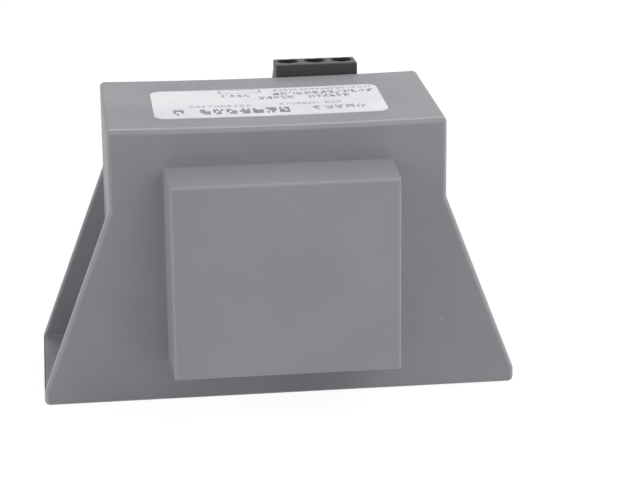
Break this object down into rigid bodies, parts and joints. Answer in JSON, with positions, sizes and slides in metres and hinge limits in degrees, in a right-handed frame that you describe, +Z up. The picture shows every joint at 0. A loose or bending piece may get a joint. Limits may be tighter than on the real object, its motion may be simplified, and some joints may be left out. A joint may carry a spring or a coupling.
{
  "type": "enclosed transformer",
  "caption": "Potted mains transformer in a moulded case with screw-down feet, a raised coil cover and screw terminals.",
  "frame": {"origin": "midway between the two foot holes, on the mounting plane under the case", "axes": "+Z up from the mounting plane, +Y towards the terminals, +X along the line of the foot holes"},
  "size_m": [0.0826, 0.0527, 0.0518],
  "materials": {
    "case_plastic": "fine matt moulded ABS",
    "label_film": "satin white film",
    "core_steel": "oiled silicon steel",
    "former_plastic": "black glass-filled nylon",
    "copper_wire": "enamelled copper",
    "coil_tape": "yellow polyester tape",
    "terminal_plastic": "black moulded nylon",
    "plated_brass": "nickel plated",
    "plated_steel": "bright zinc plated",
    "tinned_brass": "tin plated",
    "resin": "cast two-part resin"
  },
  "bodies": {
    "root": {"housing": "case_plastic", "rating_label": "label_film", "e_laminations": "core_steel", "i_laminations": "core_steel", "coil_former": "former_plastic", "primary_winding": "copper_wire", "secondary_winding": "copper_wire", "primary_tape": "coil_tape", "secondary_tape": "coil_tape", "primary_leads": "copper_wire", "secondary_leads": "copper_wire", "primary_terminal_body": "terminal_plastic", "secondary_terminal_body": "terminal_plastic", "primary_clamp_cages": "plated_brass", "secondary_clamp_cages": "plated_brass", "primary_clamp_screws": "plated_steel", "secondary_clamp_screws": "plated_steel", "primary_solder_pins": "tinned_brass", "secondary_solder_pins": "tinned_brass", "potting_resin": "resin"}
  },
  "joints": []
}
